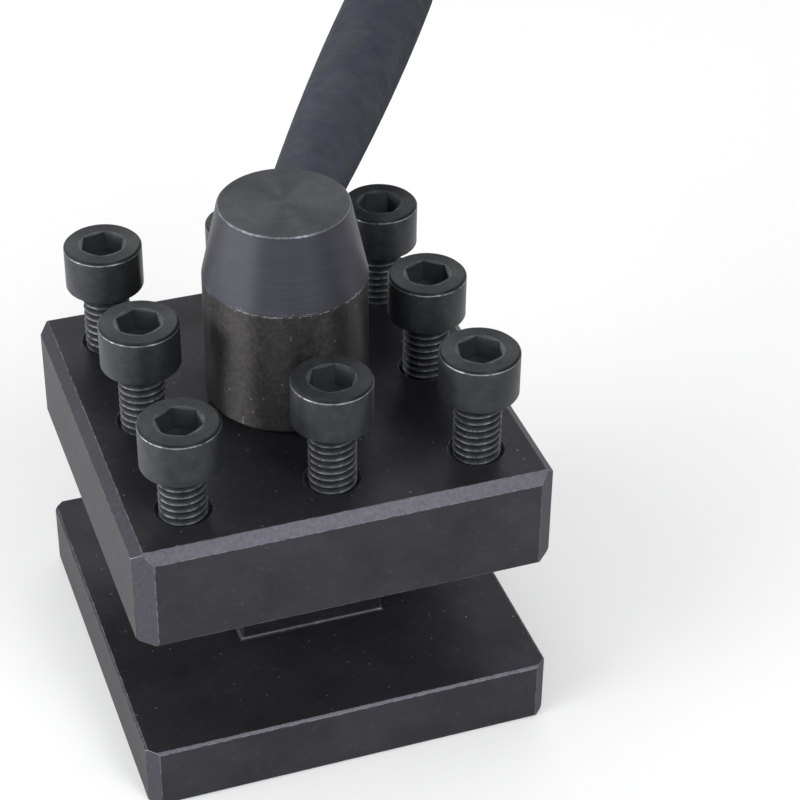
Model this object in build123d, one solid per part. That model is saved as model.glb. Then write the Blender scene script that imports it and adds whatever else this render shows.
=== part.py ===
from build123d import *
import math
import os

# Four-way lathe tool post, in millimetres.
# Origin: centre of the block's underside, where it sits on the slide.
# +X runs right along the front of the block, +Y to the back, +Z up.

# Block, milled from one square bar
block_side = 53.4
base_plate_thickness = 8.9
slot_height = 17.5
top_plate_thickness = 13.8
core_side = 19.0
slot_root_radius = 0.5
top_edge_chamfer = 1.3
top_corner_chamfer = 2.3
base_edge_chamfer = 0.3
base_corner_chamfer = 1.5
plate_underside_chamfer = 0.3

# Index seats under the base, one for each quarter turn
index_seat_radius = 2.2
index_seat_floor_radius = 0.5
index_seat_depth = 1.4
index_seat_circle_radius = 18.0

# Clamping screws, M6 x 25 with hexagon socket
screw_thread_radius = 3.0
screw_length = 25.0
screw_head_radius = 5.0
screw_head_height = 6.0
screw_head_edge_chamfer = 0.3
screw_neck_radius = 0.25
screw_point_chamfer = 0.8
socket_across_flats = 5.0
socket_depth = 3.0
socket_point_height = 0.9
socket_entry_radius = 2.95
screw_edge_distance = 8.0
hole_mouth_radius = 3.55

# How far each head stands above the block at rest, from its underside
head_lift = {
    "front_left": 6.9,
    "front_middle": 8.9,
    "front_right": 8.9,
    "middle_left": 8.8,
    "middle_right": 8.3,
    "back_left": 8.8,
    "back_middle": 8.5,
    "back_right": 7.9,
}

# Centre stud, M10 at both ends with a shouldered shank through the block
stud_shank_radius = 6.0
stud_thread_radius = 5.0
stud_foot_length = 12.0
stud_top_reach = 14.0
stud_shoulder_recess = 1.0
stud_end_chamfer = 1.0
stud_shoulder_chamfer = 0.5
stud_undercut_depth = 0.7
stud_undercut_height = 1.2
centre_bore_chamfer = 0.6

# Thrust washer between block and hub
washer_radius = 9.0
washer_thickness = 1.0
washer_edge_chamfer = 0.15

# Clamp hub, turned from bar, with a blind thread and a cross hole for the lever
hub_radius = 10.3
hub_top_radius = 8.2
hub_straight_height = 17.5
hub_taper_height = 9.8
hub_top_edge_chamfer = 0.25
hub_foot_chamfer = 0.5
hub_thread_depth = 15.5
hub_thread_mouth_chamfer = 0.8
hub_drill_point_height = 2.0

# Lever, turned, its root seated and screwed into a cross hole in the taper of the hub.
# Distances are from the hub's axis.
lever_angle = 59.6
lever_height_on_taper = 4.9
lever_thread_radius = 3.0
lever_thread_inner_end = -3.0
lever_seat_distance = 7.0
lever_seat_hole_radius = 4.5
lever_root_radius = 4.25
lever_waist_distance = 35.0
lever_waist_radius = 5.52
lever_grip_distance = 68.0
lever_grip_radius = 5.8

# Fits
running_clearance = 0.05
thread_clearance = 0.05
washer_bore_clearance = 0.25
hub_drill_clearance = 1.0

# Heights that follow from the sizes above
base_plate_top = base_plate_thickness
top_plate_bottom = base_plate_top + slot_height
block_top = top_plate_bottom + top_plate_thickness
hub_foot = block_top + washer_thickness
hub_shoulder = hub_foot + hub_straight_height
hub_top = hub_shoulder + hub_taper_height
screw_offset = block_side / 2 - screw_edge_distance
lever_height = hub_shoulder + lever_height_on_taper

SIDES = {"left": -1, "middle": 0, "right": 1}
ROWS = {"front": -1, "middle": 0, "back": 1}


def turned(*outline):
    """Solid of revolution about Z from (radius, height) corners of a closed outline."""
    return revolve(Plane.XZ * make_face(Polyline(*outline, close=True)), Axis.Z)


def drilled(radius, bottom, top, mouth_radius):
    """Cutter for a through hole from bottom to top with a countersink at each end."""
    mouth = mouth_radius - radius
    over = 1.0
    return turned(
        (0, bottom - over),
        (mouth_radius + over, bottom - over),
        (radius, bottom + mouth),
        (radius, top - mouth),
        (mouth_radius + over, top + over),
        (0, top + over),
    )


def milled_plate(thickness, edge_chamfer, corner_chamfer):
    """Square plate standing on Z = 0, its top edges broken first and its corners last."""
    plate = extrude(Rectangle(block_side, block_side), thickness)
    plate = chamfer(plate.faces().sort_by(Axis.Z)[-1].edges(), edge_chamfer)
    plate = chamfer(plate.faces().sort_by(Axis.Z)[0].edges(), plate_underside_chamfer)
    across_corners = math.sqrt(2) * (block_side - corner_chamfer)
    corner_cut = extrude(Rot(0, 0, 45) * Rectangle(across_corners, across_corners), thickness)
    return plate & corner_cut


def tool_block():
    """Base plate, core and top plate in one piece, which leaves a tool slot on each side."""
    base_plate = milled_plate(base_plate_thickness, base_edge_chamfer, base_corner_chamfer)
    top_plate = milled_plate(top_plate_thickness, top_edge_chamfer, top_corner_chamfer)
    core = Pos(0, 0, base_plate_top) * extrude(Rectangle(core_side, core_side), slot_height)
    block = base_plate + core + Pos(0, 0, top_plate_bottom) * top_plate

    def is_slot_root(edge):
        place = edge.center()
        level = min(abs(place.Z - base_plate_top), abs(place.Z - top_plate_bottom)) < 0.01
        return level and abs(max(abs(place.X), abs(place.Y)) - core_side / 2) < 0.01

    block = fillet(block.edges().filter_by(is_slot_root), slot_root_radius)

    bore = stud_shank_radius + running_clearance
    block -= drilled(bore, 0, block_top, bore + centre_bore_chamfer)
    hole = drilled(
        screw_thread_radius + thread_clearance, top_plate_bottom, block_top, hole_mouth_radius
    )
    block -= [Pos(*place, 0) * hole for place in screw_places().values()]
    seat = Cone(
        index_seat_radius,
        index_seat_floor_radius,
        index_seat_depth,
        align=(Align.CENTER, Align.CENTER, Align.MIN),
    )
    block -= [place * seat for place in PolarLocations(index_seat_circle_radius, 4)]
    return block


def screw_places():
    """Name and X, Y of each screw: a three by three grid with the hub in place of its middle."""
    return {
        f"{row}_{side}": (SIDES[side] * screw_offset, ROWS[row] * screw_offset)
        for row in ROWS
        for side in SIDES
        if f"{row}_{side}" in head_lift
    }


def clamp_screw():
    """Socket-head cap screw, point down, with the head's underside on Z = 0."""
    neck = screw_thread_radius + screw_neck_radius
    screw = turned(
        (0, -screw_length),
        (screw_thread_radius - screw_point_chamfer, -screw_length),
        (screw_thread_radius, -screw_length + screw_point_chamfer),
        (screw_thread_radius, -screw_neck_radius),
        (neck, 0),
        (screw_head_radius, 0),
        (screw_head_radius, screw_head_height - screw_head_edge_chamfer),
        (screw_head_radius - screw_head_edge_chamfer, screw_head_height),
        (0, screw_head_height),
    )
    hexagon = RegularPolygon(socket_across_flats / 2, 6, major_radius=False)
    socket_floor = screw_head_height - socket_depth
    screw -= Pos(0, 0, socket_floor) * extrude(hexagon, socket_depth)
    flat_radius = socket_across_flats / 2
    screw -= turned(
        (0, socket_floor - socket_point_height),
        (flat_radius, socket_floor),
        (flat_radius, screw_head_height - (socket_entry_radius - flat_radius)),
        (socket_entry_radius, screw_head_height),
        (0, screw_head_height),
    )
    return screw


def centre_stud():
    """Shouldered stud: foot thread into the slide, shank in the block, top thread in the hub."""
    shoulder = block_top - stud_shoulder_recess
    thread_start = shoulder + stud_undercut_height
    top = hub_foot + stud_top_reach
    end_radius = stud_thread_radius - stud_end_chamfer
    undercut_radius = stud_thread_radius - stud_undercut_depth
    return turned(
        (0, -stud_foot_length),
        (end_radius, -stud_foot_length),
        (stud_thread_radius, -stud_foot_length + stud_end_chamfer),
        (stud_thread_radius, 0),
        (stud_shank_radius, 0),
        (stud_shank_radius, shoulder - stud_shoulder_chamfer),
        (stud_shank_radius - stud_shoulder_chamfer, shoulder),
        (undercut_radius, shoulder),
        (undercut_radius, thread_start),
        (stud_thread_radius, thread_start + stud_undercut_depth),
        (stud_thread_radius, top - stud_end_chamfer),
        (end_radius, top),
        (0, top),
    )


def thrust_washer():
    """Flat ring that the hub bears on, smaller than the hub so its foot stands clear."""
    washer_bore = stud_thread_radius + washer_bore_clearance
    ring = extrude(Circle(washer_radius) - Circle(washer_bore), washer_thickness)
    ring = chamfer(ring.edges().filter_by(GeomType.CIRCLE), washer_edge_chamfer)
    return Pos(0, 0, block_top) * ring


def lever_frame():
    """Plane through the hub's axis at the lever's height, with its Z along the lever."""
    along = Vector(math.cos(math.radians(lever_angle)), math.sin(math.radians(lever_angle)), 0)
    return Plane(origin=(0, 0, lever_height), x_dir=(0, 0, 1), z_dir=along)


def clamp_hub():
    """Closed-topped hub: straight below, tapered above, threaded from under."""
    hub = turned(
        (0, hub_foot),
        (hub_radius - hub_foot_chamfer, hub_foot),
        (hub_radius, hub_foot + hub_foot_chamfer),
        (hub_radius, hub_shoulder),
        (hub_top_radius, hub_top - hub_top_edge_chamfer),
        (hub_top_radius - hub_top_edge_chamfer, hub_top),
        (0, hub_top),
    )
    thread = stud_thread_radius + thread_clearance
    hub -= turned(
        (0, hub_foot),
        (thread + hub_thread_mouth_chamfer, hub_foot),
        (thread, hub_foot + hub_thread_mouth_chamfer),
        (thread, hub_foot + hub_thread_depth),
        (0, hub_foot + hub_thread_depth + hub_drill_point_height),
    )
    lever_thread = lever_thread_radius + thread_clearance
    hub -= lever_frame() * turned(
        (0, lever_thread_inner_end - hub_drill_clearance),
        (lever_thread, lever_thread_inner_end - hub_drill_clearance),
        (lever_thread, lever_seat_distance),
        (lever_seat_hole_radius, lever_seat_distance),
        (lever_seat_hole_radius, 2 * hub_radius),
        (0, 2 * hub_radius),
    )
    return hub


def clamp_lever():
    """Turned lever: thread, a root that swells into the grip, and a domed end."""
    seat = lever_seat_distance
    tip = lever_grip_distance + lever_grip_radius
    outline = [
        Line((0, lever_thread_inner_end), (lever_thread_radius, lever_thread_inner_end)),
        Line((lever_thread_radius, lever_thread_inner_end), (lever_thread_radius, seat)),
        Line((lever_thread_radius, seat), (lever_root_radius, seat)),
        ThreePointArc(
            (lever_root_radius, seat),
            (lever_waist_radius, lever_waist_distance),
            (lever_grip_radius, lever_grip_distance),
        ),
        CenterArc((0, lever_grip_distance), lever_grip_radius, 0, 90),
        Line((0, tip), (0, lever_thread_inner_end)),
    ]
    return lever_frame() * revolve(Plane.XZ * make_face(outline), Axis.Z)


parts = {
    "tool_block": tool_block(),
    "centre_stud": centre_stud(),
    "thrust_washer": thrust_washer(),
    "clamp_hub": clamp_hub(),
    "clamp_lever": clamp_lever(),
}
screw = clamp_screw()
for name, (x, y) in screw_places().items():
    parts[f"clamp_screw_{name}"] = Pos(x, y, block_top + head_lift[name]) * screw

for name, part in parts.items():
    part.label = name
    export_step(part, f"parts/{name}.step")
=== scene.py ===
import math

import bpy
import numpy as np
from mathutils import Matrix, Vector


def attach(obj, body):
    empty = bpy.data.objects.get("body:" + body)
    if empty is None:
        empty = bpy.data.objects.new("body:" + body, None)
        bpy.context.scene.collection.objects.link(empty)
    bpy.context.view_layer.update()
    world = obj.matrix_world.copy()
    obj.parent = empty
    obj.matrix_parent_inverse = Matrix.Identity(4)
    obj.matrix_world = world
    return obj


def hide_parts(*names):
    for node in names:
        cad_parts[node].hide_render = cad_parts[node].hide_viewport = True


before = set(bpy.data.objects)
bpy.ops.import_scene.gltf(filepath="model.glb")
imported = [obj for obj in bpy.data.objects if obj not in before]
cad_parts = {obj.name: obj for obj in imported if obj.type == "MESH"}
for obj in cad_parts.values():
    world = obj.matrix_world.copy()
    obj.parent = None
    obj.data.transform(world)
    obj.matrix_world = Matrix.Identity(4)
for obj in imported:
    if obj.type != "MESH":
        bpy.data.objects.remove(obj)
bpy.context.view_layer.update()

# Camera: stands in front of the post and a little to its left, looks down at it by 36 degrees
# and sees it with a long lens, as in the photograph. Sizes are in millimetres, here and below,
# except where a comment gives another unit.
MM = 0.001
CAMERA_PLACE = (-70.04, -237.71, 219.25)
CAMERA_HEADING = -20.175
CAMERA_DOWN = 35.593
CAMERA_ROLL = 1.088
CAMERA_SENSOR = 36
CAMERA_LENS = 107.73
CAMERA_SHIFT = (-0.01866, -0.02343)

camera = bpy.data.objects.new("camera", bpy.data.cameras.new("camera"))
camera.data.sensor_width = CAMERA_SENSOR
camera.data.lens = CAMERA_LENS
camera.data.shift_x, camera.data.shift_y = CAMERA_SHIFT
camera.data.clip_start = 10 * MM
camera.data.clip_end = 50000 * MM
camera.matrix_world = (
    Matrix.Translation(Vector(CAMERA_PLACE) * MM)
    @ Matrix.Rotation(math.radians(CAMERA_HEADING), 4, "Z")
    @ Matrix.Rotation(math.radians(90 - CAMERA_DOWN), 4, "X")
    @ Matrix.Rotation(math.radians(CAMERA_ROLL), 4, "Z")
)
bpy.context.scene.collection.objects.link(camera)
bpy.context.scene.camera = camera
bpy.context.scene.view_settings.view_transform = "Standard"

# Floor: one plain pale sheet under the block. The stud's foot goes down through a hole in it,
# as it goes into the slide of a lathe.
FLOOR_COLOUR = "#f0f0f0"
FLOOR_RADIUS = 6000.0
FLOOR_HOLE_RADIUS = 6.2
FLOOR_DROP = 0.03
FLOOR_RINGS = 24
FLOOR_COLUMNS = 96
FLOOR_LIFT_TO_WHITE = 0.19
# Points that fall within this distance are merged, and edges bent by more than this angle, in
# degrees, are shaded sharp.
MERGE_DISTANCE = 0.0001
SHARP_ANGLE = 35


def linear(colour):
    """Linear red, green, blue and alpha of an sRGB hex colour."""
    parts = [int(colour[i : i + 2], 16) / 255 for i in (1, 3, 5)]
    return [p / 12.92 if p <= 0.04045 else ((p + 0.055) / 1.055) ** 2.4 for p in parts] + [1.0]


def add(tree, kind, settings, sockets, out=0):
    """Adds one shader node and returns its output out. Settings are its properties; sockets
    are its inputs, each a number, a colour, a vector or another node's output."""
    node = tree.nodes.new("ShaderNode" + kind)
    for name, value in settings.items():
        setattr(node, name, value)
    for name, value in sockets.items():
        if isinstance(value, bpy.types.NodeSocket):
            tree.links.new(value, node.inputs[name])
        else:
            node.inputs[name].default_value = value
    return node.outputs[out] if len(node.outputs) else None


def new_material(name):
    """An empty node material and its tree."""
    material = bpy.data.materials.new(name)
    material.use_nodes = True
    material.node_tree.nodes.clear()
    return material, material.node_tree


def seen_directly(tree):
    """1 for a ray of the camera, of a reflection or through glass, and 0 for diffuse light:
    the largest of the three outputs that tell such rays."""
    seen = 0.0
    for ray in ("Is Camera Ray", "Is Glossy Ray", "Is Transmission Ray"):
        is_ray = add(tree, "LightPath", {}, {}, ray)
        seen = add(tree, "Math", {"operation": "MAXIMUM"}, {0: is_ray, 1: seen})
    return seen


def ring_sheet(radius, height, turn=0.0):
    """Points and faces of a turned sheet. Radius and height are tables with a row for each
    ring and a column for each angle: x = r cos a, y = r sin a, with the angles spread evenly
    round from turn. A sheet whose rings go up, and inwards at its top, faces outwards."""
    radius, height = np.broadcast_arrays(radius, height)
    rows, columns = radius.shape
    a = turn + np.arange(columns) * 2 * math.pi / columns
    points = np.stack([radius * np.cos(a), radius * np.sin(a), height], -1).reshape(-1, 3)
    i, j = np.meshgrid(np.arange(rows - 1) * columns, np.arange(columns), indexing="ij")
    k = (j + 1) % columns
    faces = np.stack([i + j, i + k, i + columns + k, i + columns + j], -1)
    return points, faces.reshape(-1, 4).tolist()


def mesh_piece(name, sheets, place, material):
    """One mesh from sheets of points, moved to place. Points of two sheets that fall together
    are merged, and so is a ring of radius 0, which closes a pole."""
    points, faces = [], []
    for sheet_points, sheet_faces in sheets:
        start = sum(len(p) for p in points)
        points.append(sheet_points)
        faces += [[start + corner for corner in face] for face in sheet_faces]
    points = (np.concatenate(points) + np.array(place)) * MM
    cells = np.round(points / (MERGE_DISTANCE * MM))
    _, first, same = np.unique(cells, axis=0, return_index=True, return_inverse=True)
    same = same.ravel().tolist()
    merged = [list(dict.fromkeys(same[corner] for corner in face)) for face in faces]
    mesh = bpy.data.meshes.new(name)
    mesh.from_pydata(points[first].tolist(), [], [face for face in merged if len(face) > 2])
    mesh.polygons.foreach_set("use_smooth", np.ones(len(mesh.polygons), bool))
    mesh.set_sharp_from_angle(angle=math.radians(SHARP_ANGLE))
    mesh.materials.append(material)
    thing = bpy.data.objects.new(name, mesh)
    bpy.context.scene.collection.objects.link(thing)
    return thing


# Matt painted board: diffuse light keeps the shadow, and a little light of its own brings the
# open board up towards white for the camera and for what the steel reflects.
floor_board, tree = new_material("floor_matt_white_board")
seen = seen_directly(tree)
lift = add(tree, "Math", {"operation": "MULTIPLY"}, {0: seen, 1: FLOOR_LIFT_TO_WHITE})
glow = add(tree, "Emission", {}, {"Color": linear("#ffffff"), "Strength": lift})
board = add(tree, "BsdfDiffuse", {}, {"Color": linear(FLOOR_COLOUR)})
both = add(tree, "AddShader", {}, {0: board, 1: glow})
add(tree, "OutputMaterial", {}, {"Surface": both})

radii = np.geomspace(FLOOR_RADIUS, FLOOR_HOLE_RADIUS, FLOOR_RINGS)[:, None]
sheet = ring_sheet(radii * np.ones(FLOOR_COLUMNS), -FLOOR_DROP)
floor = mesh_piece("floor", [sheet], (0, 0, 0), floor_board)

# Light: a dim room with a wide pale band in front and another behind, 20 to 55 degrees up, two
# soft boxes on the left, one low and one high, and an upright one in front. Low down, the room
# is nearly as pale as the floor, for the camera and for what the steel reflects.
ROOM_LEVEL = 0.28
BAND_LEVEL = 2.4
HORIZON_LEVEL = 0.72
# Where each edge begins and ends, as the sine of the elevation
BAND_LOWER_EDGE = {"From Min": 0.3, "From Max": 0.5}
BAND_UPPER_EDGE = {"From Min": 0.85, "From Max": 0.7}
HORIZON_EDGE = {"From Min": 0.3, "From Max": 0.15}
# Azimuth from the front towards the right and elevation in degrees, width and height in metres,
# and brightness. A box's power is brightness x pi x area, so that it looks that bright.
SOFT_BOX_DISTANCE = 1.0
SOFT_BOXES = {
    "soft_box_left_low": (-88, 9, 1.1, 0.35, 8.0),
    "soft_box_left_high": (-75, 35, 0.6, 0.45, 3.0),
    "soft_box_front": (19, 42, 0.3, 0.6, 4.8),
}

world = bpy.data.worlds.new("studio")
world.use_nodes = True
world.node_tree.nodes.clear()
tree = world.node_tree
direction = add(tree, "TexCoord", {}, {}, "Generated")
to_the_back = add(tree, "SeparateXYZ", {}, {"Vector": direction}, "Y")
height = to_the_back.node.outputs["Z"]
# The square of the direction's y is 1 in front and behind, and 0 at the sides.
fore_and_aft = add(tree, "Math", {"operation": "MULTIPLY"}, {0: to_the_back, 1: to_the_back})
smooth = {"interpolation_type": "SMOOTHSTEP"}
lower_edge = add(tree, "MapRange", smooth, {"Value": height, **BAND_LOWER_EDGE})
upper_edge = add(tree, "MapRange", smooth, {"Value": height, **BAND_UPPER_EDGE})
band = add(tree, "Math", {"operation": "MULTIPLY"}, {0: lower_edge, 1: upper_edge})
band = add(tree, "Math", {"operation": "MULTIPLY"}, {0: band, 1: fore_and_aft})
level = add(tree, "Math", {"operation": "MULTIPLY_ADD"}, {0: band, 1: BAND_LEVEL, 2: ROOM_LEVEL})
low_down = add(tree, "MapRange", smooth, {"Value": height, **HORIZON_EDGE})
low_down = add(tree, "Math", {"operation": "MULTIPLY"}, {0: low_down, 1: seen_directly(tree)})
level = add(tree, "Mix", {}, {0: low_down, 2: level, 3: HORIZON_LEVEL})
sky = add(tree, "Background", {}, {"Color": linear("#ffffff"), "Strength": level})
add(tree, "OutputWorld", {}, {"Surface": sky})
bpy.context.scene.world = world

for name, (azimuth, elevation, box_width, box_height, brightness) in SOFT_BOXES.items():
    lamp = bpy.data.lights.new(name, "AREA")
    lamp.shape = "RECTANGLE"
    lamp.size = box_width
    lamp.size_y = box_height
    lamp.energy = brightness * math.pi * box_width * box_height
    a, e = math.radians(azimuth), math.radians(elevation)
    away = Vector((math.sin(a) * math.cos(e), -math.cos(a) * math.cos(e), math.sin(e)))
    aim = away.to_track_quat("Z", "Y").to_matrix().to_4x4()
    soft_box = bpy.data.objects.new(name, lamp)
    soft_box.matrix_world = Matrix.Translation(away * SOFT_BOX_DISTANCE) @ aim
    bpy.context.scene.collection.objects.link(soft_box)

# Tool block: one square bar of steel, milled to a base plate, a core and a top plate, its
# edges broken by a coarser cut, then blackened in hot salts. The oxide is satin black, a little
# cloudy and scuffed, greyer and mottled on the broken edges, and worn off in places on arrises.
BLOCK_BLACK = "#3b3b3f"
BLOCK_BROKEN_EDGE = "#4e4d54"
BLOCK_ARRIS = "#8a8a92"
BLOCK_SCUFF = "#66666a"
BLOCK_SPECK = "#9a9a94"
# What the oxide keeps of light that grazes it
BLOCK_GRAZING = "#b0b0b0"
BLOCK_ARRIS_RADIUS = 0.18
BLOCK_METAL = 0.55
BLOCK_SCUFF_ROUGHNESS = 0.25
# The parts of a facet's normal add up to 1 on the block's faces and to 1.41 at 45 degrees.
BROKEN_EDGE_SUM = 1.2
# Noises, with their scale in parts per millimetre: clouds of oxide 8 mm wide, blotches 1 mm,
# and the mottle of the coarser cut 0.5 mm. Grain is too fine to show and is drawn 0.3 mm wide.
BLOCK_CLOUDS = {"Scale": 0.13, "Detail": 5, "Roughness": 0.6}
BLOCK_BLOTCHES = {"Scale": 0.9, "Detail": 6, "Roughness": 0.7}
BLOCK_MOTTLE = {"Scale": 1.9, "Detail": 6, "Roughness": 0.75}
BLOCK_GRAIN = {"Scale": 3.5, "Detail": 4, "Roughness": 0.7}
# The lines of the mill are 0.2 mm apart, and scuffs 4 to 5 mm long and 0.2 mm wide. These are
# parts per millimetre along x, y and z, and the scuffs' turns are in radians.
BLOCK_CUTS_PER_MM = (0.12, 0.12, 5)
SCUFFS = (
    ((0.4, 0.5, 0.6), (0.25, 5, 5)),
    ((-0.3, -0.2, 1.9), (0.2, 4, 4)),
)
# What each noise gives: a share of the scuffs' colour, and the cosine between an arris's rounded
# and flat normals under which it is bare
SCRATCHED = {"From Min": 0.70, "From Max": 0.82, "To Max": 0.35}
RUBBED = {"From Min": 0.58, "From Max": 0.8, "To Max": 0.5}
BARE_ARRIS = {"From Min": 0.42, "From Max": 0.62, "To Min": 0.88, "To Max": 0.998}
# Specks of dust, on upward faces: cells 1.2 mm wide, one in five with a speck, that fades from
# its middle to its rim
BLOCK_SPECK_CELLS_PER_MM = 0.85
BLOCK_CELLS_WITHOUT_SPECK = 0.8
BLOCK_SPECK_FADE = {"From Min": 0.072, "From Max": 0.12, "To Min": 0.6, "To Max": 0.0}
# A face is upward where its normal rises more than this.
UPWARD = 0.9
# Most of a noise's values lie in this span.
NOISE_SPAN = {"From Min": 0.3, "From Max": 0.7}
# A Mix node's socket 0 is its factor, 2 and 3 are its numbers, and 6 and 7 are its colours, which
# come out of output 2.
mix = {"data_type": "RGBA"}
multiply = {"data_type": "RGBA", "blend_type": "MULTIPLY"}


def place_in_mm(tree):
    """A point's place on its piece in millimetres: its object coordinates x 1000."""
    local = add(tree, "TexCoord", {}, {}, "Object")
    return add(tree, "Mapping", {}, {"Vector": local, "Scale": (1000, 1000, 1000)})


block_oxide, tree = new_material("black_oxide_on_milled_steel")
mm_place = place_in_mm(tree)
clouds = add(tree, "TexNoise", {}, {"Vector": mm_place, **BLOCK_CLOUDS})
blotches = add(tree, "TexNoise", {}, {"Vector": mm_place, **BLOCK_BLOTCHES})
grain = add(tree, "TexNoise", {}, {"Vector": mm_place, **BLOCK_GRAIN})

# Broken edges are the facets that lean away from all of the block's faces, those of the
# countersinks among them. Arrises are where the rounded normal leaves the facet's own.
dot_product = {"operation": "DOT_PRODUCT"}
flat_normal = add(tree, "NewGeometry", {}, {}, "Normal")
turned_out = add(tree, "VectorMath", {"operation": "ABSOLUTE"}, {0: flat_normal})
tilt = add(tree, "VectorMath", dot_product, {0: turned_out, 1: (1, 1, 1)}, "Value")
broken = add(tree, "Math", {"operation": "GREATER_THAN"}, {0: tilt, 1: BROKEN_EDGE_SUM})
round_normal = add(tree, "Bevel", {"samples": 4}, {"Radius": BLOCK_ARRIS_RADIUS * MM})
facing = add(tree, "VectorMath", dot_product, {0: round_normal, 1: flat_normal}, "Value")
bare = add(tree, "MapRange", {}, {"Value": blotches, **BARE_ARRIS})
arris = add(tree, "Math", {"operation": "LESS_THAN"}, {0: facing, 1: bare})

# Scuffs: short pale scratches in two directions, and rubbed patches
scratch = 0.0
for turn, lines_per_mm in SCUFFS:
    way = add(tree, "Mapping", {}, {"Vector": mm_place, "Rotation": turn, "Scale": lines_per_mm})
    lines = add(tree, "TexNoise", {}, {"Vector": way, "Scale": 1.0, "Detail": 2})
    scratch = add(tree, "Math", {"operation": "MAXIMUM"}, {0: scratch, 1: lines})
scratch = add(tree, "MapRange", {}, {"Value": scratch, **SCRATCHED})
pale_patches = add(tree, "MapRange", {}, {"Value": blotches, **RUBBED})
scuffs = add(tree, "Math", {"operation": "MAXIMUM"}, {0: scratch, 1: pale_patches})

cells = {"Vector": mm_place, "Scale": BLOCK_SPECK_CELLS_PER_MM}
spot = add(tree, "TexVoronoi", {}, cells, "Distance")
pick = add(tree, "SeparateColor", {}, {"Color": spot.node.outputs["Color"]}, "Red")
pick = add(tree, "Math", {"operation": "GREATER_THAN"}, {0: pick, 1: BLOCK_CELLS_WITHOUT_SPECK})
upward = add(tree, "SeparateXYZ", {}, {"Vector": flat_normal}, "Z")
upward = add(tree, "Math", {"operation": "GREATER_THAN"}, {0: upward, 1: UPWARD})
pick = add(tree, "Math", {"operation": "MULTIPLY"}, {0: pick, 1: upward})
spot = add(tree, "MapRange", {}, {"Value": spot, **BLOCK_SPECK_FADE})
specks = add(tree, "Math", {"operation": "MULTIPLY"}, {0: spot, 1: pick})

tone = add(tree, "MapRange", {}, {"Value": clouds, **NOISE_SPAN, "To Min": 0.82, "To Max": 1.18})
mottle = add(tree, "TexNoise", {}, {"Vector": mm_place, **BLOCK_MOTTLE})
mottle = add(tree, "MapRange", {}, {"Value": mottle, **NOISE_SPAN, "To Min": 0.75, "To Max": 1.2})
tone = add(tree, "Mix", {}, {0: broken, 2: tone, 3: mottle})
colour = add(tree, "Mix", mix, {0: broken, 6: linear(BLOCK_BLACK), 7: linear(BLOCK_BROKEN_EDGE)}, 2)
colour = add(tree, "Mix", multiply, {0: 1.0, 6: colour, 7: tone}, 2)
colour = add(tree, "Mix", mix, {0: scuffs, 6: colour, 7: linear(BLOCK_SCUFF)}, 2)
colour = add(tree, "Mix", mix, {0: arris, 6: colour, 7: linear(BLOCK_ARRIS)}, 2)
colour = add(tree, "Mix", mix, {0: specks, 6: colour, 7: linear(BLOCK_SPECK)}, 2)
rough = add(tree, "MapRange", {}, {"Value": grain, **NOISE_SPAN, "To Min": 0.3, "To Max": 0.38})
scuffed = {0: scuffs, 1: BLOCK_SCUFF_ROUGHNESS, 2: rough}
rough = add(tree, "Math", {"operation": "MULTIPLY_ADD"}, scuffed)

# Fine milling lines run level round the sides.
relief = {"Strength": 0.35, "Distance": 0.02 * MM, "Height": grain, "Normal": round_normal}
bumps = add(tree, "Bump", {}, relief)
along_cut = add(tree, "Mapping", {}, {"Vector": mm_place, "Scale": BLOCK_CUTS_PER_MM})
cuts = add(tree, "TexNoise", {}, {"Vector": along_cut, "Scale": 1.0, "Detail": 3, "Roughness": 0.6})
relief = {"Strength": 0.25, "Distance": 0.02 * MM, "Height": cuts, "Normal": bumps}
bumps = add(tree, "Bump", {}, relief)
shader = add(
    tree,
    "BsdfPrincipled",
    {},
    {
        "Base Color": colour,
        "Metallic": BLOCK_METAL,
        "Roughness": rough,
        "Specular IOR Level": 0.08,
        "Specular Tint": linear(BLOCK_GRAZING),
        "Normal": bumps,
    },
)
add(tree, "OutputMaterial", {}, {"Surface": shader})
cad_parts["tool_block"].material_slots[0].material = block_oxide

# Clamp screws: eight M6 x 25 socket-head cap screws in a grid of three by three, heads forged
# with a hexagon socket, threads rolled, then blackened. Each is screwed in to its own height.
SCREW_SPACING = 18.7
BLOCK_TOP = 40.2
SCREW_THREAD_RADIUS = 3.0
SCREW_THREAD_PITCH = 1.0
SCREW_NECK_RADIUS = 2.6
# Heights over the underside of the head: the screw's end, and where its thread starts and stops
SCREW_END = -25.0
SCREW_THREAD_START = -24.6
SCREW_THREAD_STOP = -0.25
HEAD_RADIUS = 5.0
HEAD_HEIGHT = 6.0
HEAD_EDGE = 0.3
SOCKET_ACROSS_FLATS = 5.0
SOCKET_ENTRY_RADIUS = 2.95
SOCKET_DEPTH = 3.0
SOCKET_MOUTH_SLOPE = 0.35
SOCKET_DRILL_POINT = 0.9
# Column, row, height of the head above the block, and angle of one corner of its socket
SCREWS = {
    "front_left": (-1, -1, 6.9, 32),
    "front_middle": (0, -1, 8.9, 5.5),
    "front_right": (1, -1, 8.9, 18),
    "middle_left": (-1, 0, 8.8, 27),
    "middle_right": (1, 0, 8.3, 21),
    "back_left": (-1, 1, 8.8, 12),
    "back_middle": (0, 1, 8.5, 40),
    "back_right": (1, 1, 7.9, 49),
}
COLUMNS = 72
# Metric thread in one pitch: how far up it each row of points starts, and how far that row stands
# out from the root, as a share of the thread's depth, which is 0.6134 of the pitch. At each end
# the thread fades over 0.6 of a turn.
THREAD_RISE = np.array([0.0, 0.09, 0.18, 0.37, 0.56, 0.625, 0.69, 0.84])
THREAD_FORM = np.array([0.0, -0.04, 0.0, 0.5, 0.95, 1.0, 0.95, 0.48])
THREAD_DEPTH_IN_PITCHES = 0.6134
THREAD_FADE = 0.6
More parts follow.
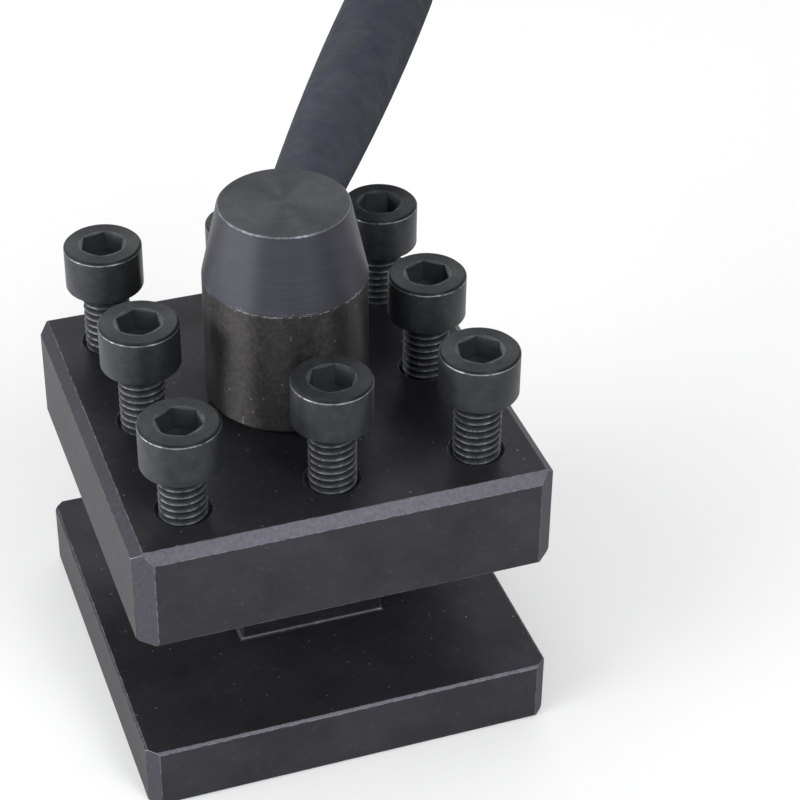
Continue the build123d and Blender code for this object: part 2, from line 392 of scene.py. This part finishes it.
# Pitches that whole turns leave free: the one that a row climbs, and a fifth to spare
THREAD_ROOM = 1.2


def thread_sheet(radius, pitch, bottom, top, neck, turn=0.0):
    """Points and faces of a right-hand thread between two flat rings of the neck's radius.
    A row's points climb one pitch in a turn: z = bottom + pitch x (the row's start in turns +
    a / full circle + half the turns to spare). Their radius is root + form x depth, and it
    fades to the neck's towards both ends, so that the first turn and the last are plain."""
    steps = len(THREAD_RISE)
    depth = THREAD_DEPTH_IN_PITCHES * pitch
    turns = int((top - bottom) / pitch - THREAD_ROOM)
    row = np.arange(turns * steps + 1)
    last = len(row) - 1
    along = (row // steps + THREAD_RISE[row % steps])[:, None] + np.arange(COLUMNS) / COLUMNS
    shown = np.clip(np.minimum(along - 1, turns - along) / THREAD_FADE, 0, 1)
    form = THREAD_FORM[row % steps][:, None]
    radii = neck + (radius - depth + form * depth - neck) * shown
    spare = (top - bottom) / pitch - turns - 1
    heights = bottom + pitch * (along + spare / 2)
    flat = np.ones((1, COLUMNS))
    radii = np.concatenate([neck * flat, radii, neck * flat])
    heights = np.concatenate([bottom * flat, heights, top * flat])
    points = ring_sheet(radii, heights, turn)[0]

    # A row's last point meets the first point of the row one turn further on. The steps that are
    # left between the first and last turns and the flat rings are closed by fans.
    at = np.arange(len(points)).reshape(-1, COLUMNS)
    quads = np.stack([at[:-1, :-1], at[:-1, 1:], at[1:, 1:], at[1:, :-1]], -1).reshape(-1, 4)
    low, rows, high = at[0], at[1:-1], at[-1]
    ends, starts = rows[: last - steps + 1, -1], rows[steps:, 0]
    seam = np.stack([ends[:-1], starts[:-1], starts[1:], ends[1:]], -1)
    right_side = [low[0], *rows[: steps + 1, 0]]
    left_side = [*rows[last - steps :, -1], high[-1]]
    first_fan = [[rows[0, -1], low[-1], low[0]]]
    first_fan += [[rows[0, -1], a, b] for a, b in zip(right_side, right_side[1:])]
    last_fan = [[rows[last, 0], b, a] for a, b in zip(left_side, left_side[1:])]
    last_fan += [[rows[last, 0], high[0], high[-1]]]
    return points, quads.tolist() + seam.tolist() + first_fan + last_fan


def turned_sheet(profile, turn=0.0):
    """A sheet turned from (radius, height) pairs, from its lower end to its upper end."""
    radius, height = np.array(profile, float).T
    return ring_sheet(radius[:, None] * np.ones(COLUMNS), height[:, None], turn)


def mesh_points(thing):
    """A mesh's points in millimetres, as rows of x, y, z."""
    points = np.empty(3 * len(thing.data.vertices))
    thing.data.vertices.foreach_get("co", points)
    return points.reshape(-1, 3) / MM


def point_values(thing, name, values):
    """Keeps one number for each point of a mesh, for its material to read by name."""
    thing.data.attributes.new(name, "FLOAT", "POINT").data.foreach_set("value", values)


# Black oxide on forged and rolled alloy steel: duller than the milled block. The chamfer of
# each head is painted darker, the roots of the thread carry painted shade, grey dust lies in the
# socket, and the turned edge under the chamfer and the crests of the thread are painted bright in
# places, as wear and as a painted highlight.
SCREW_BLACK = "#323337"
# Painted shade in the roots of the thread, and the darker paint of each head's chamfer
SCREW_PAINTED_DARK = "#101012"
SCREW_WORN = "#5b5c60"
# Painted highlight, with wear, on the turned edge under the chamfer and on the crests of the thread
SCREW_WEAR_AND_HIGHLIGHT = "#96989e"
SOCKET_DUST = "#4a4b50"
SCREW_ARRIS_RADIUS = 0.06
# Clouds 1.4 mm wide and rubbed patches 0.9 mm. Grain is too fine to show and drawn 0.3 mm wide.
SCREW_CLOUDS = {"Scale": 0.7, "Detail": 5, "Roughness": 0.7}
SCREW_PATCHES = {"Scale": 1.1, "Detail": 5, "Roughness": 0.7}
SCREW_GRAIN = {"Scale": 3.2, "Detail": 4, "Roughness": 0.7}
# What each noise gives: the share of an edge that is painted bright, as wear and as a painted
# highlight, and of a nick's colour
SCREW_BRIGHT_PATCHES = {"From Min": 0.38, "From Max": 0.56, "To Min": 0.1, "To Max": 1.0}
SCREW_NICKED = {"From Min": 0.66, "From Max": 0.74, "To Max": 0.6}
PAINTED_DARK_STRENGTH = 0.7
DUST_STRENGTH = 0.45
# How metallic the oxide is, and how much more so an edge is where it is painted bright
SCREW_METAL = 0.3
SCREW_EDGE_METAL = 0.6
# Turning marks run round the axis, so that highlights are drawn out along it.
TURNING_MARKS = {"Anisotropic": 0.8, "Anisotropic Rotation": 0.25}
round_z = {"direction_type": "RADIAL", "axis": "Z"}

screw_oxide, tree = new_material("black_oxide_on_forged_screw_steel")
mm_place = place_in_mm(tree)
clouds = add(tree, "TexNoise", {}, {"Vector": mm_place, **SCREW_CLOUDS})
grain = add(tree, "TexNoise", {}, {"Vector": mm_place, **SCREW_GRAIN})
patches = add(tree, "TexNoise", {}, {"Vector": mm_place, **SCREW_PATCHES})
shade_highlight_and_wear = add(tree, "Attribute", {"attribute_name": "shade_highlight_and_wear"}, {}, "Fac")
socket_depth = add(tree, "Attribute", {"attribute_name": "socket_depth"}, {}, "Fac")
# Patches of the edges and crests that are painted bright: wear, and a painted highlight
pale_patches = add(tree, "MapRange", {}, {"Value": patches, **SCREW_BRIGHT_PATCHES})
clamped_product = {"operation": "MULTIPLY", "use_clamp": True}
wear_and_painted_highlight = add(tree, "Math", clamped_product, {0: shade_highlight_and_wear, 1: pale_patches})
# Painted darkening: painted shade in the thread's roots, and the darker chamfer of each head
painted_dark = add(tree, "Math", clamped_product, {0: shade_highlight_and_wear, 1: -PAINTED_DARK_STRENGTH})
dusty = add(tree, "Math", {"operation": "MULTIPLY"}, {0: socket_depth, 1: DUST_STRENGTH})
tone = add(tree, "MapRange", {}, {"Value": clouds, **NOISE_SPAN, "To Min": 0.7, "To Max": 1.3})
nicks = add(tree, "MapRange", {}, {"Value": grain, **SCREW_NICKED})
colour = add(tree, "Mix", mix, {0: nicks, 6: linear(SCREW_BLACK), 7: linear(SCREW_WORN)}, 2)
colour = add(tree, "Mix", multiply, {0: 1.0, 6: colour, 7: tone}, 2)
colour = add(tree, "Mix", mix, {0: painted_dark, 6: colour, 7: linear(SCREW_PAINTED_DARK)}, 2)
colour = add(tree, "Mix", mix, {0: dusty, 6: colour, 7: linear(SOCKET_DUST)}, 2)
colour = add(tree, "Mix", mix, {0: wear_and_painted_highlight, 6: colour, 7: linear(SCREW_WEAR_AND_HIGHLIGHT)}, 2)
metal_where_bright = {0: wear_and_painted_highlight, 1: SCREW_EDGE_METAL, 2: SCREW_METAL}
metal = add(tree, "Math", {"operation": "MULTIPLY_ADD"}, metal_where_bright)
rough = add(tree, "MapRange", {}, {"Value": grain, **NOISE_SPAN, "To Min": 0.36, "To Max": 0.46})
round_axis = add(tree, "Tangent", round_z, {})
round_normal = add(tree, "Bevel", {"samples": 4}, {"Radius": SCREW_ARRIS_RADIUS * MM})
relief = {"Strength": 0.3, "Distance": 0.015 * MM, "Height": grain, "Normal": round_normal}
bumps = add(tree, "Bump", {}, relief)
shader = add(
    tree,
    "BsdfPrincipled",
    {},
    {
        "Base Color": colour,
        "Metallic": metal,
        "Roughness": rough,
        "Specular IOR Level": 0.25,
        "Normal": bumps,
        "Tangent": round_axis,
        **TURNING_MARKS,
    },
)
add(tree, "OutputMaterial", {}, {"Surface": shader})

# The socket: a round entry, a mouth that slopes down to the hexagon, and a drill point. Each
# column's angle from the middle of its flat gives the hexagon's radius there.
from_flat = np.arange(COLUMNS) * 2 * math.pi / COLUMNS % (math.pi / 3) - math.pi / 6
flat_radius = SOCKET_ACROSS_FLATS / 2
hexagon = flat_radius / np.cos(from_flat)
ones = np.ones(COLUMNS)
socket_floor = HEAD_HEIGHT - SOCKET_DEPTH
socket_radii = np.stack([
    SOCKET_ENTRY_RADIUS * ones,
    hexagon,
    hexagon,
    flat_radius * ones,
    0 * ones,
])
socket_heights = np.stack([
    HEAD_HEIGHT * ones,
    HEAD_HEIGHT - SOCKET_MOUTH_SLOPE * (SOCKET_ENTRY_RADIUS - hexagon),
    socket_floor * ones,
    socket_floor * ones,
    (socket_floor - SOCKET_DRILL_POINT) * ones,
])
# Profiles as (radius, height over the underside of the head). That underside is drawn 0.02 mm
# high, so that it seats on the block and doesn't cut it.
point = [
    (0, SCREW_END),
    (1.1, SCREW_END),
    (2.15, SCREW_END),
    (2.25, SCREW_END + 0.04),
    (SCREW_NECK_RADIUS, SCREW_THREAD_START),
]
head_edge = HEAD_HEIGHT - HEAD_EDGE
head = [
    (SCREW_NECK_RADIUS, SCREW_THREAD_STOP),
    (2.68, -0.1),
    (2.85, 0.02),
    (4.84, 0.02),
    (4.95, 0.06),
    (HEAD_RADIUS, 0.16),
    (HEAD_RADIUS, head_edge - 0.13),
    (HEAD_RADIUS, head_edge - 0.03),
    (HEAD_RADIUS - 0.02, head_edge + 0.03),
    (HEAD_RADIUS - 0.09, head_edge + 0.1),
    (HEAD_RADIUS - 0.26, head_edge + 0.27),
    (HEAD_RADIUS - 0.32, HEAD_HEIGHT),
    (HEAD_RADIUS - 0.42, HEAD_HEIGHT),
    (SOCKET_ENTRY_RADIUS + 0.15, HEAD_HEIGHT),
    (SOCKET_ENTRY_RADIUS, HEAD_HEIGHT),
]
# Edge tones, which run from -1, painted fully dark, to 1, painted bright as wear and as a
# painted highlight
CHAMFER_TONE = -0.8
MOUTH_TONE = 0.3
# Painted shade in the roots of the thread, and a painted highlight on its crests
ROOT_TONE = -0.8
CREST_TONE = 0.6
# Socket depth: this at the hexagon's mouth, and 1 at its floor
MOUTH_DEPTH = 0.6

for name, (side, row, lift, socket_turn) in SCREWS.items():
    turn = math.radians(socket_turn)
    sheets = [
        turned_sheet(point, turn),
        thread_sheet(
            SCREW_THREAD_RADIUS,
            SCREW_THREAD_PITCH,
            SCREW_THREAD_START,
            SCREW_THREAD_STOP,
            SCREW_NECK_RADIUS,
            turn,
        ),
        turned_sheet(head, turn),
        ring_sheet(socket_radii, socket_heights, turn),
    ]
    place = (side * SCREW_SPACING, row * SCREW_SPACING, BLOCK_TOP + lift)
    screw = mesh_piece(f"socket_screw_{name}", sheets, place, screw_oxide)

    # Each point's distance from the axis and height over the head's underside give its tones:
    # the profile's rows at the edge, painted bright as wear and as a painted highlight, and in the
    # chamfer, painted darker, the ring round the socket where the key rubs, and the thread from
    # painted shade at its root to a painted highlight at its crest.
    x, y, z = mesh_points(screw).T - np.array(place)[:, None]
    out = np.hypot(x, y)
    on_edge = (out > HEAD_RADIUS - 0.03) & (abs(z - head_edge) < 0.04)
    in_chamfer = (out > HEAD_RADIUS - 0.3) & (z > head_edge + 0.05)
    at_mouth = (abs(out - SOCKET_ENTRY_RADIUS) < 0.01) & (z > HEAD_HEIGHT - 0.01)
    in_thread = (z < SCREW_THREAD_STOP + 0.05) & (z > SCREW_THREAD_START - 0.2)
    thread_depth = THREAD_DEPTH_IN_PITCHES * SCREW_THREAD_PITCH
    crest = np.clip((out - SCREW_THREAD_RADIUS) / thread_depth + 1, 0, 1)
    # Painted shade at the thread's root, painted highlight at its crest
    thread_shade_and_highlight = ROOT_TONE + (CREST_TONE - ROOT_TONE) * crest
    head_tone = on_edge + CHAMFER_TONE * in_chamfer + MOUTH_TONE * at_mouth
    point_values(screw, "shade_highlight_and_wear", head_tone + in_thread * thread_shade_and_highlight)
    down = np.clip((HEAD_HEIGHT - z) / SOCKET_DEPTH, 0, 1)
    in_socket = (out < SOCKET_ENTRY_RADIUS - 0.01) & (z > socket_floor - 1)
    point_values(screw, "socket_depth", in_socket * (MOUTH_DEPTH + (1 - MOUTH_DEPTH) * down))

    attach(screw, f"screw_{name}")
    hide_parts(f"clamp_screw_{name}")

# Centre stud: turned steel, M10 x 1.5 at both ends and a plain shank that fits the bore of
# the block. Its foot screws into the slide and its top takes the hub.
STUD_THREAD_RADIUS = 5.0
STUD_THREAD_PITCH = 1.5
STUD_NECK_RADIUS = 4.3
STUD_SHANK_RADIUS = 6.0
# Heights over the block's underside: the stud's ends, its threads' and the top of its shank,
# which starts at 0
STUD_FOOT = -12.0
STUD_FOOT_THREAD = (-11.7, -0.2)
STUD_SHANK_TOP = 39.2
STUD_TOP_THREAD = (40.5, 54.9)
STUD_TOP = 55.2

# Turned steel with a film of oil: fine rings 0.17 mm apart, bright but not polished.
STUD_GREY = "#8f9092"
STUD_RINGS_PER_MM = (0.2, 0.2, 6)

stud_steel, tree = new_material("turned_steel_oiled")
mm_place = place_in_mm(tree)
across_axis = add(tree, "Mapping", {}, {"Vector": mm_place, "Scale": STUD_RINGS_PER_MM})
rings = add(tree, "TexNoise", {}, {"Vector": across_axis, "Scale": 1.0, "Detail": 3})
rough = add(tree, "MapRange", {}, {"Value": rings, **NOISE_SPAN, "To Min": 0.25, "To Max": 0.38})
bumps = add(tree, "Bump", {}, {"Strength": 0.3, "Distance": 0.01 * MM, "Height": rings})
shader = add(
    tree,
    "BsdfPrincipled",
    {},
    {"Base Color": linear(STUD_GREY), "Metallic": 1.0, "Roughness": rough, "Normal": bumps},
)
add(tree, "OutputMaterial", {}, {"Surface": shader})

# Profiles as (radius, height over the block's underside)
foot = [
    (0, STUD_FOOT),
    (3.9, STUD_FOOT),
    (4.02, STUD_FOOT + 0.04),
    (STUD_NECK_RADIUS, STUD_FOOT_THREAD[0]),
]
shank = [
    (STUD_NECK_RADIUS, STUD_FOOT_THREAD[1]),
    (4.36, 0),
    (STUD_SHANK_RADIUS - 0.1, 0),
    (STUD_SHANK_RADIUS, 0.1),
    (STUD_SHANK_RADIUS, STUD_SHANK_TOP - 0.5),
    (STUD_SHANK_RADIUS - 0.5, STUD_SHANK_TOP),
    (STUD_NECK_RADIUS, STUD_SHANK_TOP),
    (STUD_NECK_RADIUS, STUD_TOP_THREAD[0]),
]
tip = [
    (STUD_NECK_RADIUS, STUD_TOP_THREAD[1]),
    (4.02, STUD_TOP - 0.04),
    (3.9, STUD_TOP),
    (0, STUD_TOP),
]
stud_thread = (STUD_THREAD_RADIUS, STUD_THREAD_PITCH)
stud_sheets = [
    turned_sheet(foot),
    thread_sheet(*stud_thread, *STUD_FOOT_THREAD, STUD_NECK_RADIUS),
    turned_sheet(shank),
    thread_sheet(*stud_thread, *STUD_TOP_THREAD, STUD_NECK_RADIUS),
    turned_sheet(tip),
]
stud = mesh_piece("threaded_stud", stud_sheets, (0, 0, 0), stud_steel)
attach(stud, "post")
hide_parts("centre_stud")

# Thrust washer: a ground ring of spring steel between block and hub, smaller than the hub, so
# that the hub's foot stands clear of the block by a thin dark gap. Its fine grain is from
# grinding, and drawn 0.2 mm wide to show.
WASHER_GREY = "#3c3d40"
WASHER_GRAIN = {"Scale": 5.0, "Detail": 3}

washer_steel, tree = new_material("ground_spring_steel")
grain = add(tree, "TexNoise", {}, {"Vector": place_in_mm(tree), **WASHER_GRAIN})
rough = add(tree, "MapRange", {}, {"Value": grain, **NOISE_SPAN, "To Min": 0.3, "To Max": 0.42})
bumps = add(tree, "Bump", {}, {"Strength": 0.3, "Distance": 0.01 * MM, "Height": grain})
shader = add(
    tree,
    "BsdfPrincipled",
    {},
    {"Base Color": linear(WASHER_GREY), "Metallic": 1.0, "Roughness": rough, "Normal": bumps},
)
add(tree, "OutputMaterial", {}, {"Surface": shader})
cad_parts["thrust_washer"].material_slots[0].material = washer_steel

# Clamp hub: turned from hot-rolled black bar, then blackened. The taper and the top are
# machined, with turning marks and a rim painted bright, as wear and as a painted highlight. The
# straight part keeps the bar's brownish rolled skin, specked with pale scale, up to a ragged line
# with flecks of bare metal along it.
HUB_SHOULDER = 58.7
HUB_TOP = 68.5
HUB_RIM_HEIGHT = 0.2
HUB_TURNED = "#3a3a42"
HUB_FACE = "#55565a"
# Painted highlight, with wear, on the rim of the top
HUB_RIM_WEAR_AND_HIGHLIGHT = "#8e8e98"
HUB_FLECK = "#85858c"
HUB_SKIN_DARK = "#363535"
HUB_SKIN = "#403f3f"
HUB_SKIN_PALE = "#4c4a48"
HUB_SPECK = "#8a8680"
HUB_ARRIS_RADIUS = 0.1
# Blotches 2 mm wide and grain 0.6 mm. Turning marks are streaks 7 mm long and 0.2 mm apart round
# the taper, and rings 0.25 mm apart on the top.
HUB_BLOTCHES = {"Scale": 0.5, "Detail": 6, "Roughness": 0.7}
HUB_GRAIN = {"Scale": 1.7, "Detail": 6, "Roughness": 0.7}
HUB_STREAKS = {"Scale": 1.0, "Detail": 4, "Roughness": 0.7}
HUB_STREAKS_PER_MM = (0.15, 0.15, 4.5)
HUB_RINGS = {"Scale": 4.0, "Detail": 3, "Roughness": 0.6}
# The ragged line's height, by the grain; how near to it the flecks lie, and over what value of
# the streaks
HUB_LINE = {"To Min": HUB_SHOULDER - 0.4, "To Max": HUB_SHOULDER + 0.25}
HUB_FLECK_REACH = 0.12
HUB_FLECKED_OVER = 0.52
# Specks of scale: cells 1.1 mm wide, fewer than one in five with a speck
HUB_SPECK_CELLS_PER_MM = 0.9
HUB_CELLS_WITHOUT_SPECK = 0.82
HUB_SPECK_FADE = {"From Min": 0.1, "From Max": 0.17, "To Min": 0.5, "To Max": 0.0}
HUB_RIM_PATCHES = {"From Min": 0.4, "From Max": 0.6, "To Min": 0.3, "To Max": 1.0}
# The grain's values at which the skin is dark, middling and pale
HUB_DARK_AT = 0.36
HUB_MIDDLE_AT = 0.52
HUB_PALE_AT = 0.70
# The rolled skin and the top's face reflect nearly as bare metal does, and the taper as a thin
# dark film. The face is rougher than the taper.
HUB_SKIN_METAL = 0.72
HUB_TAPER_METAL = 0.2
HUB_FACE_METAL = 0.73
HUB_RIM_METAL = 0.95
HUB_TAPER_ROUGHNESS = 0.42
HUB_FACE_ROUGHNESS = 0.59

hub_oxide, tree = new_material("black_oxide_on_turned_bar")
mm_place = place_in_mm(tree)
height = add(tree, "SeparateXYZ", {}, {"Vector": mm_place}, "Z")
off_axis = add(tree, "VectorMath", {"operation": "MULTIPLY"}, {0: mm_place, 1: (1, 1, 0)})
radius = add(tree, "VectorMath", {"operation": "LENGTH"}, {0: off_axis}, "Value")
blotches = add(tree, "TexNoise", {}, {"Vector": mm_place, **HUB_BLOTCHES})
grain = add(tree, "TexNoise", {}, {"Vector": mm_place, **HUB_GRAIN})
round_taper = add(tree, "Mapping", {}, {"Vector": mm_place, "Scale": HUB_STREAKS_PER_MM})
streaks = add(tree, "TexNoise", {}, {"Vector": round_taper, **HUB_STREAKS})
out_from_axis = add(tree, "CombineXYZ", {}, {"X": radius})
rings = add(tree, "TexNoise", {}, {"Vector": out_from_axis, **HUB_RINGS})
on_top = add(tree, "Math", {"operation": "GREATER_THAN"}, {0: height, 1: HUB_TOP - 0.03})
on_rim = add(tree, "Math", {"operation": "GREATER_THAN"}, {0: height, 1: HUB_TOP - HUB_RIM_HEIGHT})
marks = add(tree, "Mix", {}, {0: on_top, 2: streaks, 3: rings})
line = add(tree, "MapRange", {}, {"Value": grain, **NOISE_SPAN, **HUB_LINE})
machined = add(tree, "Math", {"operation": "GREATER_THAN"}, {0: height, 1: line})
near_line = add(tree, "Math", {"operation": "COMPARE"}, {0: height, 1: line, 2: HUB_FLECK_REACH})
flecked = add(tree, "Math", {"operation": "GREATER_THAN"}, {0: streaks, 1: HUB_FLECKED_OVER})
flecks = add(tree, "Math", {"operation": "MULTIPLY"}, {0: near_line, 1: flecked})

skin = add(tree, "ValToRGB", {}, {"Fac": grain})
ramp = skin.node.color_ramp
ramp.elements[0].position = HUB_DARK_AT
ramp.elements[0].color = linear(HUB_SKIN_DARK)
ramp.elements[1].position = HUB_PALE_AT
ramp.elements[1].color = linear(HUB_SKIN_PALE)
ramp.elements.new(HUB_MIDDLE_AT).color = linear(HUB_SKIN)
cells = {"Vector": mm_place, "Scale": HUB_SPECK_CELLS_PER_MM}
spot = add(tree, "TexVoronoi", {}, cells, "Distance")
pick = add(tree, "SeparateColor", {}, {"Color": spot.node.outputs["Color"]}, "Red")
pick = add(tree, "Math", {"operation": "GREATER_THAN"}, {0: pick, 1: HUB_CELLS_WITHOUT_SPECK})
spot = add(tree, "MapRange", {}, {"Value": spot, **HUB_SPECK_FADE})
specks = add(tree, "Math", {"operation": "MULTIPLY"}, {0: spot, 1: pick})
skin = add(tree, "Mix", mix, {0: specks, 6: skin, 7: linear(HUB_SPECK)}, 2)

cloudy = {**NOISE_SPAN, "To Min": 0.85, "To Max": 1.15}
blotchy = add(tree, "MapRange", {}, {"Value": blotches, **cloudy})
marked = add(tree, "MapRange", {}, {"Value": marks, **cloudy})
# The rim: a painted highlight with wear, in patches
rim = add(tree, "Math", {"operation": "SUBTRACT"}, {0: on_rim, 1: on_top})
rim_patches = add(tree, "MapRange", {}, {"Value": grain, **HUB_RIM_PATCHES})
rim = add(tree, "Math", {"operation": "MULTIPLY"}, {0: rim, 1: rim_patches})
turned = add(tree, "Mix", mix, {0: on_top, 6: linear(HUB_TURNED), 7: linear(HUB_FACE)}, 2)
turned = add(tree, "Mix", multiply, {0: 1.0, 6: turned, 7: marked}, 2)
turned = add(tree, "Mix", multiply, {0: on_top, 6: turned, 7: blotchy}, 2)
turned = add(tree, "Mix", mix, {0: rim, 6: turned, 7: linear(HUB_RIM_WEAR_AND_HIGHLIGHT)}, 2)
colour = add(tree, "Mix", mix, {0: machined, 6: skin, 7: turned}, 2)
colour = add(tree, "Mix", mix, {0: flecks, 6: colour, 7: linear(HUB_FLECK)}, 2)

metal = add(tree, "Mix", {}, {0: on_top, 2: HUB_TAPER_METAL, 3: HUB_FACE_METAL})
metal = add(tree, "Mix", {}, {0: machined, 2: HUB_SKIN_METAL, 3: metal})
metal = add(tree, "Mix", {}, {0: rim, 2: metal, 3: HUB_RIM_METAL})
rough_skin = {"Value": grain, **NOISE_SPAN, "To Min": 0.42, "To Max": 0.55}
rough_skin = add(tree, "MapRange", {}, rough_skin)
rough_turned = {0: on_top, 2: HUB_TAPER_ROUGHNESS, 3: HUB_FACE_ROUGHNESS}
rough_turned = add(tree, "Mix", {}, rough_turned)
rough = add(tree, "Mix", {}, {0: machined, 2: rough_skin, 3: rough_turned})
texture = add(tree, "Mix", {}, {0: machined, 2: grain, 3: marks})
round_axis = add(tree, "Tangent", round_z, {})
round_normal = add(tree, "Bevel", {"samples": 4}, {"Radius": HUB_ARRIS_RADIUS * MM})
relief = {"Strength": 0.5, "Distance": 0.03 * MM, "Height": texture, "Normal": round_normal}
bumps = add(tree, "Bump", {}, relief)
shader = add(
    tree,
    "BsdfPrincipled",
    {},
    {
        "Base Color": colour,
        "Metallic": metal,
        "Roughness": rough,
        "Specular IOR Level": 0.25,
        "Normal": bumps,
        "Tangent": round_axis,
        **TURNING_MARKS,
    },
)
add(tree, "OutputMaterial", {}, {"Surface": shader})
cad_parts["clamp_hub"].material_slots[0].material = hub_oxide

# Clamp lever: turned bar that thickens outwards to a domed end, screwed into the hub's taper.
# Blackened to a satin black, cloudy from handling: bluish in some patches, greyer in others,
# with faint rings from the tool and a little dust.
LEVER_BLUE_BLACK = "#484b55"
LEVER_GREY_BLACK = "#4b4e52"
LEVER_DUST = "#7c7c80"
# What the oxide keeps of light that grazes it
LEVER_GRAZING = "#78787c"
LEVER_METAL = 0.15
# Degrees from the x axis to the lever's own
LEVER_ANGLE = 59.6
# Patches of either black are 5 mm wide, blotches 2.5 mm and specks of dust 0.3 mm, and the rings
# from the tool 0.3 mm apart.
LEVER_PATCHES = {"Scale": 0.22, "Detail": 3}
LEVER_BLOTCHES = {"Scale": 0.4, "Detail": 5, "Roughness": 0.6}
LEVER_GRAIN = {"Scale": 3.0, "Detail": 4, "Roughness": 0.7}
LEVER_RINGS = {"Scale": 1.0, "Detail": 4, "Roughness": 0.6}
LEVER_RINGS_PER_MM = (3.0, 0.3, 0.3)
LEVER_DUSTED = {"From Min": 0.66, "From Max": 0.74, "To Max": 0.5}

lever_oxide, tree = new_material("black_oxide_on_turned_lever")
mm_place = place_in_mm(tree)
turned_back = {"Vector": mm_place, "Rotation": (0, 0, math.radians(-LEVER_ANGLE))}
along_lever = add(tree, "Mapping", {}, turned_back)
across_lever = add(tree, "Mapping", {}, {"Vector": along_lever, "Scale": LEVER_RINGS_PER_MM})
rings = add(tree, "TexNoise", {}, {"Vector": across_lever, **LEVER_RINGS})
blotches = add(tree, "TexNoise", {}, {"Vector": mm_place, **LEVER_BLOTCHES})
grain = add(tree, "TexNoise", {}, {"Vector": mm_place, **LEVER_GRAIN})
patches = add(tree, "TexNoise", {}, {"Vector": mm_place, **LEVER_PATCHES})
# Rings and blotches together give a tone of about 1 on average.
tone = add(tree, "Math", {"operation": "MULTIPLY_ADD"}, {0: rings, 1: 0.5, 2: 0.4})
tone = add(tree, "Math", {"operation": "MULTIPLY_ADD"}, {0: blotches, 1: 0.7, 2: tone})
dust = add(tree, "MapRange", {}, {"Value": grain, **LEVER_DUSTED})
greyer = add(tree, "MapRange", {}, {"Value": patches, "From Min": 0.4, "From Max": 0.6})
blacks = {0: greyer, 6: linear(LEVER_BLUE_BLACK), 7: linear(LEVER_GREY_BLACK)}
colour = add(tree, "Mix", mix, blacks, 2)
colour = add(tree, "Mix", multiply, {0: 1.0, 6: colour, 7: tone}, 2)
colour = add(tree, "Mix", mix, {0: dust, 6: colour, 7: linear(LEVER_DUST)}, 2)
rough = add(tree, "MapRange", {}, {"Value": grain, **NOISE_SPAN, "To Min": 0.38, "To Max": 0.48})
bumps = add(tree, "Bump", {}, {"Strength": 0.3, "Distance": 0.015 * MM, "Height": grain})
relief = {"Strength": 0.3, "Distance": 0.02 * MM, "Height": rings, "Normal": bumps}
bumps = add(tree, "Bump", {}, relief)
shader = add(
    tree,
    "BsdfPrincipled",
    {},
    {
        "Base Color": colour,
        "Metallic": LEVER_METAL,
        "Roughness": rough,
        "Specular IOR Level": 0.0,
        "Specular Tint": linear(LEVER_GRAZING),
        "Normal": bumps,
    },
)
add(tree, "OutputMaterial", {}, {"Surface": shader})
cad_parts["clamp_lever"].material_slots[0].material = lever_oxide
